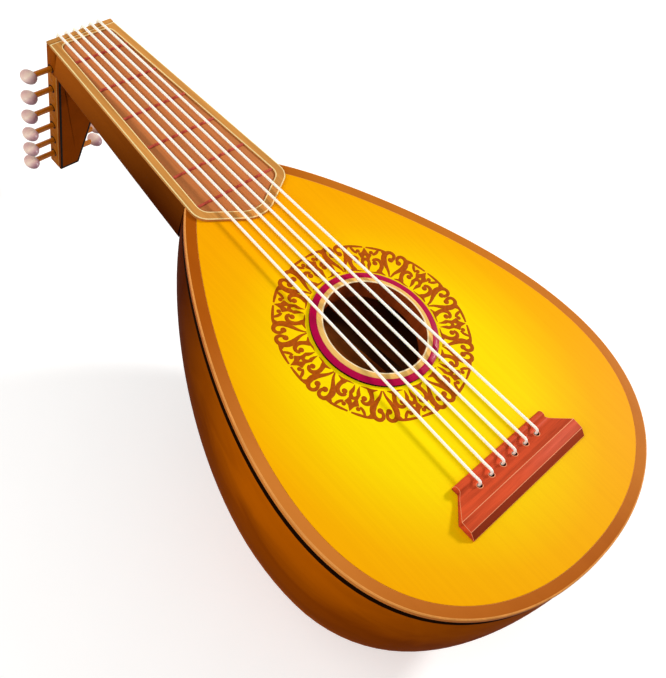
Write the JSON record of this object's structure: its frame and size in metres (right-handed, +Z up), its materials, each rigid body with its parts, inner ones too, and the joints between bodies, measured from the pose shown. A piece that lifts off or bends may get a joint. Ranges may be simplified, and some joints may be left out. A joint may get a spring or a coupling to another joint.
{
  "type": "round-backed lute",
  "caption": "Plucked string instrument with a deep ribbed bowl, an open soundhole, a fretted neck and a bent-back pegbox with turning pegs.",
  "frame": {"origin": "on the surface that the instrument lies on, below the middle of its outer box", "axes": "+X across the belly to the treble side, +Y along the strings from the bridge to the pegbox, +Z up out of the belly"},
  "size_m": [0.3034, 0.5616, 0.1946],
  "materials": {
    "belly": "glossy golden yellow varnish, brighter in the middle",
    "binding": "satin brown varnish with a lighter outer edge",
    "soundhole_liner": "satin dark red-brown",
    "pale_wood": "satin tan wood",
    "crimson": "glossy crimson stain",
    "bowl": "glossy dark brown varnish",
    "inner_wood": "plain unvarnished softwood",
    "neck": "glossy dark brown varnish",
    "panel": "satin red-brown wood",
    "fret": "satin red stained wood",
    "peg_shaft": "glossy golden brown wood",
    "peg_head": "pearly pink-grey gloss",
    "bridge": "satin red-brown wood",
    "string": "smooth cream string"
  },
  "bodies": {
    "lute": {"soundboard": "belly", "binding": "binding", "soundhole_liner": "soundhole_liner", "soundhole_ring_inner": "pale_wood", "fingerboard_frame": "pale_wood", "nut": "pale_wood", "soundhole_ring_outer": "crimson", "bowl_rib_1": "bowl", "bowl_rib_2": "bowl", "bowl_rib_3": "bowl", "bowl_rib_4": "bowl", "bowl_rib_5": "bowl", "bowl_rib_6": "bowl", "bowl_rib_7": "bowl", "tail_block": "bowl", "neck_block": "inner_wood", "soundboard_bar_1": "inner_wood", "soundboard_bar_2": "inner_wood", "neck": "neck", "pegbox_wall_bass": "neck", "pegbox_wall_treble": "neck", "pegbox_back": "neck", "fingerboard_panel": "panel", "fret_1": "fret", "fret_2": "fret", "fret_3": "fret", "fret_4": "fret", "fret_5": "fret", "fret_6": "fret", "bridge": "bridge", "string_1": "string", "string_2": "string", "string_3": "string", "string_4": "string", "string_5": "string", "string_6": "string"},
    "peg_bass_1": {"peg_bass_1_shaft": "peg_shaft", "peg_bass_1_head": "peg_head"},
    "peg_bass_2": {"peg_bass_2_shaft": "peg_shaft", "peg_bass_2_head": "peg_head"},
    "peg_bass_3": {"peg_bass_3_shaft": "peg_shaft", "peg_bass_3_head": "peg_head"},
    "peg_bass_4": {"peg_bass_4_shaft": "peg_shaft", "peg_bass_4_head": "peg_head"},
    "peg_bass_5": {"peg_bass_5_shaft": "peg_shaft", "peg_bass_5_head": "peg_head"},
    "peg_bass_6": {"peg_bass_6_shaft": "peg_shaft", "peg_bass_6_head": "peg_head"},
    "peg_treble_1": {"peg_treble_1_shaft": "peg_shaft", "peg_treble_1_head": "peg_head"},
    "peg_treble_2": {"peg_treble_2_shaft": "peg_shaft", "peg_treble_2_head": "peg_head"},
    "peg_treble_3": {"peg_treble_3_shaft": "peg_shaft", "peg_treble_3_head": "peg_head"},
    "peg_treble_4": {"peg_treble_4_shaft": "peg_shaft", "peg_treble_4_head": "peg_head"},
    "peg_treble_5": {"peg_treble_5_shaft": "peg_shaft", "peg_treble_5_head": "peg_head"},
    "peg_treble_6": {"peg_treble_6_shaft": "peg_shaft", "peg_treble_6_head": "peg_head"}
  },
  "joints": [
    {"name": "peg_bass_1_turn", "type": "hinge", "parent": "lute", "child": "peg_bass_1", "pos_m": [0, 0.26811, 0.16218], "axis": [1, 0, 0], "continuous": true},
    {"name": "peg_bass_2_turn", "type": "hinge", "parent": "lute", "child": "peg_bass_2", "pos_m": [0, 0.2691, 0.13856], "axis": [1, 0, 0], "continuous": true},
    {"name": "peg_bass_3_turn", "type": "hinge", "parent": "lute", "child": "peg_bass_3", "pos_m": [0, 0.27008, 0.11524], "axis": [1, 0, 0], "continuous": true},
    {"name": "peg_bass_4_turn", "type": "hinge", "parent": "lute", "child": "peg_bass_4", "pos_m": [0, 0.27102, 0.09293], "axis": [1, 0, 0], "continuous": true},
    {"name": "peg_bass_5_turn", "type": "hinge", "parent": "lute", "child": "peg_bass_5", "pos_m": [0, 0.27185, 0.07293], "axis": [1, 0, 0], "continuous": true},
    {"name": "peg_bass_6_turn", "type": "hinge", "parent": "lute", "child": "peg_bass_6", "pos_m": [0, 0.27259, 0.05526], "axis": [1, 0, 0], "continuous": true},
    {"name": "peg_treble_1_turn", "type": "hinge", "parent": "lute", "child": "peg_treble_1", "pos_m": [0, 0.2686, 0.15044], "axis": [1, 0, 0], "continuous": true},
    {"name": "peg_treble_2_turn", "type": "hinge", "parent": "lute", "child": "peg_treble_2", "pos_m": [0, 0.26959, 0.12683], "axis": [1, 0, 0], "continuous": true},
    {"name": "peg_treble_3_turn", "type": "hinge", "parent": "lute", "child": "peg_treble_3", "pos_m": [0, 0.27055, 0.10408], "axis": [1, 0, 0], "continuous": true},
    {"name": "peg_treble_4_turn", "type": "hinge", "parent": "lute", "child": "peg_treble_4", "pos_m": [0, 0.27143, 0.08293], "axis": [1, 0, 0], "continuous": true},
    {"name": "peg_treble_5_turn", "type": "hinge", "parent": "lute", "child": "peg_treble_5", "pos_m": [0, 0.27217, 0.0654], "axis": [1, 0, 0], "continuous": true},
    {"name": "peg_treble_6_turn", "type": "hinge", "parent": "lute", "child": "peg_treble_6", "pos_m": [0, 0.2729, 0.04787], "axis": [1, 0, 0], "continuous": true}
  ]
}
